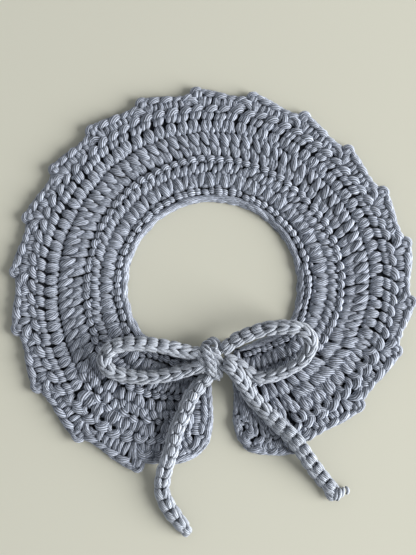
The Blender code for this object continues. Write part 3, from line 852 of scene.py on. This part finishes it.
# Near the fronts the stitches are looser: broad leaves, and arches over pairs of leaves.
FRONT_ROW_2 = (
    (1.6, (1.02, 0.474, 2.2), (0.88, 0.505, 3.5), (0.7, 0.555, 4), (0.52, 0.605, 3.3), (0.42, 0.632, 2.3)),
    (1.5, (1.16, 0.48, 2.2), (1.1, 0.52, 3.5), (1, 0.568, 3.9), (0.86, 0.61, 3.2), (0.78, 0.632, 2.3)),
    (1.2, (1.42, 0.565, 2), (1.38, 0.59, 2.9), (1.28, 0.62, 3.1), (1.16, 0.65, 2.4)),
    (1.7, (1.04, 0.628, 2.4), (0.88, 0.662, 3.7), (0.68, 0.708, 4.2), (0.5, 0.752, 3.4), (0.4, 0.778, 2.3)),
    (1.55, (1.22, 0.634, 2.3), (1.16, 0.672, 3.6), (1.06, 0.715, 3.9), (0.92, 0.755, 3.1), (0.86, 0.776, 2.2)),
)
FRONT_ROW_3 = (
    (1.6, (0.42, 0.738, 2.3), (0.26, 0.775, 3.5), (0.18, 0.825, 3.8), (0.28, 0.878, 2.4)),
    (1.75, (0.52, 0.738, 2.4), (0.66, 0.778, 3.7), (0.7, 0.83, 4), (0.56, 0.886, 2.6)),
    (1.35, (0.92, 0.722, 2.2), (0.96, 0.742, 3.2), (0.98, 0.775, 3.3), (0.94, 0.805, 2.3)),
    (1.55, (0.12, 0.876, 2.4), (0.1, 0.912, 3.5), (0.24, 0.948, 3.8), (0.48, 0.958, 3.4)),
    (1.55, (0.82, 0.876, 2.4), (0.82, 0.912, 3.5), (0.68, 0.945, 3.8), (0.44, 0.962, 3.5)),
)
LEFT_ROW_2 = (
    (1.75, (0.16, 0.588, 2), (0.26, 0.56, 3.4), (0.46, 0.518, 3.6), (0.66, 0.488, 2)),
    (1.7, (0.72, 0.6, 2), (0.8, 0.568, 3.4), (0.88, 0.524, 3.5), (0.96, 0.486, 2)),
    (1.75, (-0.3, 0.712, 2), (-0.18, 0.686, 3.5), (0.06, 0.646, 3.8), (0.24, 0.618, 2)),
    (1.65, (0.36, 0.716, 2), (0.4, 0.69, 3.4), (0.5, 0.65, 3.6), (0.6, 0.62, 2)),
    (1.5, (0.66, 0.676, 2.4), (0.82, 0.664, 3.2), (0.92, 0.644, 3.3), (1.02, 0.622, 2.4)),
    (2.1, (0.3, 0.748, 2.4), (0.44, 0.74, 3.6), (0.6, 0.73, 3.8), (0.76, 0.716, 2.6)),
    (1.2, (0.82, 0.744, 2.2), (0.96, 0.738, 3), (1.1, 0.742, 2.9), (1.22, 0.752, 2.2)),
)
LEFT_ROW_3 = (
    (1.85, (-0.16, 0.764, 2.4), (-0.24, 0.8, 3.6), (-0.24, 0.84, 3.7), (-0.14, 0.878, 2.4)),
    (1.8, (0.16, 0.762, 2.3), (0.22, 0.8, 3.5), (0.22, 0.84, 3.6), (0.1, 0.878, 2.4)),
    (1.35, (0.48, 0.774, 2.2), (0.52, 0.8, 2.9), (0.54, 0.834, 3), (0.5, 0.866, 2.2)),
    (1.6, (0.1, 0.886, 2.3), (0.1, 0.915, 3.4), (0.24, 0.945, 3.6), (0.46, 0.958, 3.2)),
    (1.6, (0.84, 0.886, 2.3), (0.84, 0.912, 3.4), (0.7, 0.942, 3.6), (0.46, 0.96, 3.3)),
)
ROWS = (
    # piece, the node that it stands for, then its charts and where they are worked, in the order of working
    ("foundation_stitches", "collar_foundation_chain", (CHAIN, EACH), (BEANS, PAIRS)),
    ("row_1_stitches", "collar_row_1", (ROW_1_LOWER, PAIRS), (ROW_1_UPPER, EACH), (CAP_1, EACH)),
    ("row_2_stitches", "collar_row_2", (ROW_2_LOWER, REGULAR), (ROW_2_UPPER, REGULAR),
        (LEFT_ROW_2, LEFT_2), (FRONT_ROW_2, RIGHT_2)),
    ("row_3_stitches", "collar_row_3", (ROW_3_LOWER, REGULAR), (ROW_3_UPPER, REGULAR),
        (LEFT_ROW_3, LEFT_3), (FRONT_ROW_3, RIGHT_3), (CAP_3, EACH)),
)

# ---------- charts of the border
CHARTED_WIDTH = 8.6  # the border's width that reach is drawn for
PICOT_GROUP = (  # from one picot to the next
    (2, (-1.06, 5.2, 2.2), (-0.7, 6.2, 3.5), (-0.32, 5.2, 3.9), (-0.1, 2.8, 3), (-0.02, 1.4, 2.2)),
    (1.6, (-1.3, 1.8, 2), (-1.05, 3, 3), (-0.75, 3.9, 3.2), (-0.45, 3.2, 2.4)),
    (1.25, (0.04, 8, 2.4), (0.1, 5.6, 3.5), (0.2, 2.8, 3.5), (0.3, 0.6, 2.2)),
    (1.25, (0.24, 8.4, 2.4), (0.26, 5.8, 3.7), (0.28, 3, 3.7), (0.32, 0.8, 2.2)),
    (1.3, (0.48, 7.8, 2.4), (0.44, 5.4, 3.5), (0.38, 2.8, 3.5), (0.34, 0.8, 2.2)),
    (1.5, (0.9, 7, 2.2), (0.84, 5.4, 3.4), (0.74, 3.2, 3.4), (0.62, 1.4, 2.2)),
    (1.6, (1.16, 7, 2.2), (1.22, 5.4, 3.5), (1.2, 3.2, 3.5), (1.08, 1.4, 2.2)),
    (1.6, (1.54, 6.4, 2.2), (1.5, 5, 3.3), (1.48, 3, 3.3), (1.5, 1.4, 2.2)),
    (1.65, (1.88, 6.6, 2.2), (1.92, 5, 3.5), (1.9, 3, 3.5), (1.8, 1.2, 2.2)),
    (1.6, (2.26, 6.2, 2.2), (2.3, 4.6, 3.5), (2.32, 2.8, 3.5), (2.26, 1, 2.2)),
    (1.65, (2.62, 6, 2.2), (2.68, 4.6, 3.4), (2.74, 2.8, 3.4), (2.7, 1, 2.2)),
    (1.85, (0.46, 8.4, 2.6), (0.74, 9, 3.7), (1.04, 9.2, 3.6), (1.3, 8.6, 2.5)),
    (1.95, (1.22, 7, 2.5), (1.52, 7.8, 3.8), (1.86, 8.1, 3.7), (2.12, 7.4, 2.5)),
    (1.6, (2.12, 6.2, 2.3), (2.36, 7, 3.6), (2.62, 7.8, 3.5), (2.86, 8, 2.4)),
    (1.6, (2.72, 6.2, 2.3), (2.98, 7, 3.6), (3.24, 8, 3.5), (3.48, 8.8, 2.4)),
    (1.35, (0.2, 12, 1.6), (0.8, 11, 1.9), (1.5, 9.7, 1.8), (2.2, 8.7, 1.6)),
    (1.35, (1.9, 8.5, 1.6), (2.5, 8, 1.7), (3.1, 8.1, 1.7), (3.6, 8.8, 1.6)),
)
PICOT = (
    (1.3, (-0.26, 6.6, 2.4), (-0.18, 8.2, 3.6), (-0.12, 9.8, 3.8), (-0.06, 11, 3)),
    (1.25, (0, 7, 2.3), (0.08, 8.6, 3.4), (0.14, 10, 3.5), (0.18, 11, 2.9)),
    (1.7, (-0.4, 8.8, 2), (-0.36, 10.8, 2.8), (-0.18, 12.1, 3.2), (0.08, 12.2, 3.2), (0.3, 11, 2.6)),
    (1.55, (0.06, 10.2, 2.3), (0.28, 11, 3.1), (0.52, 10.4, 2.9), (0.72, 9.6, 2.2)),
)
HEM = (  # one stitch of the hem beside a front, where there are no picots
    (1.55, (0.04, 0.6, 2.1), (0.06, 1.7, 3.3), (0.08, 2.9, 3.4), (0.1, 4, 2.3)),
    (1.55, (0.5, 0.6, 2.1), (0.5, 1.7, 3.3), (0.48, 2.9, 3.4), (0.46, 4, 2.3)),
    (1.75, (-0.34, 4, 2.4), (-0.1, 4.8, 3.6), (0.2, 5.1, 3.6), (0.46, 4.4, 2.5)),
    (1.3, (0.62, 3.6, 2.2), (0.66, 4.6, 3.2), (0.6, 5.6, 3.2), (0.5, 6.3, 2.3)),
    (1.6, (-0.56, 7.8, 2.2), (-0.2, 7.2, 3.3), (0.25, 7, 3.4), (0.6, 7.6, 2.3)),
    (1.4, (-0.7, 8.3, 1.6), (-0.2, 8, 1.9), (0.4, 8.1, 1.9), (0.9, 8.3, 1.6)),
)
LEFT_FRONT = (  # one stitch of the left front edge: posts across, a chain along
    (1.6, (0.1, 0.2, 2), (0.1, 1.7, 3.3), (0.14, 3.2, 3.3), (0.16, 4.4, 2.2)),
    (1.6, (0.58, 0.2, 2), (0.58, 1.7, 3.2), (0.62, 3.2, 3.3), (0.64, 4.4, 2.2)),
    (1.65, (-0.7, 5, 2.3), (-0.3, 5.2, 3.5), (0.25, 5.8, 3.7), (0.8, 6.9, 2.7)),
    (1.65, (-0.62, 8, 2.1), (-0.2, 8, 3.2), (0.35, 7.6, 3.5), (0.88, 6.9, 2.6)),
)
RIGHT_FRONT = (  # one stitch of the right front edge: the long posts at the turns of the rows
    (1.7, (0, 1, 2.1), (0.45, 0.8, 3.3), (1, 1, 3.5), (1.5, 1.4, 2.5)),
    (1.8, (0.4, 4, 2.1), (0.9, 4.4, 3.4), (1.5, 4.2, 3.6), (2, 3.6, 2.5)),
    (1.6, (0, 7, 1.9), (0.55, 7, 2.8), (1.2, 6.8, 2.9), (1.8, 6.2, 2.2)),
)
FRONTS = ((HEM, HEM_STARTS), (LEFT_FRONT, LEFT_FRONT_STARTS), (RIGHT_FRONT, RIGHT_FRONT_STARTS))


def build_band(material):
    pieces = []
    for seed, (name, node, *charts) in enumerate(ROWS, 1):
        strands = Strands(seed)
        for chart, (starts, stray, slant) in charts:
            strands.work(chart, starts, place_on_band, stray, slant, stretch)
        pieces.append(stitched(strands, name, material, "cotton_yarn", node))
    border = Strands(len(ROWS) + 1)
    for chart in (PICOT_GROUP, PICOT):
        border.work(chart, PICOT_STARTS, place_on_border)
    for chart, starts in FRONTS:
        border.work(chart, starts, place_on_border, swell=border_fullness)
    pieces.append(stitched(border, "picot_border_stitches", material, "cotton_yarn", "collar_picot_border"))
    return pieces


# ---------- the underside, and the ground
UNDER_STRANDS = (6, 3, 6, 0.45)  # their seed, plies, rings and flatness
UNDER_TOP, UNDER_DIP = 1.4, 0.12  # an underside strand lies at this, less this share of its chart's height
UNDER_CHARTS = (CHAIN, ROW_1_UPPER, CAP_1[:1], ROW_2_LOWER, ROW_2_UPPER, ROW_3_LOWER, CAP_3[:1])
GROUND_LOW, GROUND_TOP = 1.0, 1.5
GROUND_INSET = 1.2  # how far it stops short of the border's edge
GROUND_SKIP = 6  # steps of the border's line between two points of the ground's outline


def pressed(place):
    """The same place, pressed flat against the surface below the collar."""

    def under(first, second, height):
        at = place(first, second, height)
        at[..., 2] = UNDER_TOP - UNDER_DIP * height
        return at

    return under


def build_underside(material):
    """The wrong side of the stitches, which rests flat."""
    strands = Strands(*UNDER_STRANDS)
    for chart in UNDER_CHARTS:
        strands.work(chart, EACH[0], pressed(place_on_band), swell=stretch)
    strands.work(ROW_1_LOWER, PAIRS[0], pressed(place_on_band), swell=stretch)
    for chart, starts in ((PICOT_GROUP, PICOT_STARTS), *FRONTS):
        strands.work(chart, starts, pressed(place_on_border))
    return stitched(strands, "underside_stitches", material, "cotton_yarn")


def build_ground(gap_shade, below, stitch_pieces):
    """A thin sheet under the stitches, from the neck edge to the border's edge. It stands for the cloth; its
    top and sides are painted near black, as painted shade in the gaps between the stitches.
    """
    places, points, outward = BORDER
    rim = points + outward * (border_width(places) - GROUND_INSET)[:, None]
    neck = section_ends(np.linspace(STITCHES, 0, 2 * STITCHES + 1))[0]
    outline = (np.concatenate([rim[::GROUND_SKIP], neck]) + RING_CENTRE) * MM
    around = len(outline)
    verts = [(x, y, level * MM) for level in (GROUND_TOP, GROUND_LOW) for x, y in outline]
    faces = [tuple(range(around))[::-1], tuple(range(around, 2 * around))]
    faces += [(i, (i + 1) % around, around + (i + 1) % around, around + i) for i in range(around)]
    mesh = bpy.data.meshes.new("collar_ground")
    mesh.from_pydata(verts, [], faces)
    piece = riding("collar_ground", mesh, "cotton_yarn", gap_shade, below)
    mesh.polygons[1].material_index = 1


# ---------- stage
FLOOR_SIZE = 4.0
SKY = ((1.52, 1.54, 1.55), (0.15, 0.155, 0.16))  # low down, and overhead
SKY_LEVELS = (0.35, 0.95)
SKY_STRENGTH = 0.48
WINDOW_DISTANCE, WINDOW_SIZE = 3.5, 2.6
WINDOW_BEARING, WINDOW_ELEVATION = 103.0, math.radians(22.5)
WINDOW_POWER, WINDOW_COLOUR = 242.0, (1.0, 0.99, 0.97)


def make_floor():
    bpy.ops.mesh.primitive_plane_add(size=FLOOR_SIZE, location=(0, 0, 0))
    floor = bpy.context.object
    floor.name = "floor"
    floor.data.materials.append(mottled_material("pale_floor", FLOOR, roughness=0.85, scale=3.0))


def make_sky():
    """A soft room, brighter low down than straight overhead."""
    world = bpy.data.worlds.new("soft_room")
    bpy.context.scene.world = world
    world.use_nodes = True
    tree = world.node_tree
    sky = tree.nodes["Background"]
    sky.inputs["Strength"].default_value = SKY_STRENGTH
    place, axes = add_node(tree, "TexCoord"), add_node(tree, "SeparateXYZ")
    colour = add_ramp(tree, SKY, SKY_LEVELS)
    link_nodes(tree, (place, axes, "Vector", "Generated"), (axes, colour, "Fac", "Z"), (colour, sky, "Color"))


def make_window():
    data = bpy.data.lights.new("window", "AREA")
    data.shape = "DISK"
    data.size = WINDOW_SIZE
    data.energy = WINDOW_POWER
    data.color = WINDOW_COLOUR
    window = linked(bpy.data.objects.new("window", data))
    away = Vector((*polar(WINDOW_BEARING, math.cos(WINDOW_ELEVATION)), math.sin(WINDOW_ELEVATION)))
    window.location = away * WINDOW_DISTANCE
    point_along(window, -away)


def main():
    make_camera()
    collar_yarn, tie_yarn = yarn_material("cotton_yarn", COLLAR_YARN), yarn_material("tie_yarn", TIE_YARN_PAINTED_LIGHTER)
    cords = {name: make_cord(name, seed, tie_yarn) for seed, name in enumerate(TIE_ROUTES, CORD_SEED)}
    traced = {node: make_traced(node, seed, tie_yarn) for seed, node in enumerate(TRACED, TRACED_SEED)}
    ground = {"roughness": 0.95, "scale": 900.0, "detail": 3.0, "relief": 0.4 * MM}
    build_ground(
        mottled_material("painted_gap_shade", GROUND_PAINTED_SHADE, **ground),
        mottled_material("yarn_underside", GROUND_BELOW, **ground),
        [*build_band(collar_yarn), build_underside(collar_yarn)],
    )
    make_floor()
    make_sky()
    make_window()
    bpy.context.scene.view_settings.view_transform = "Standard"


main()
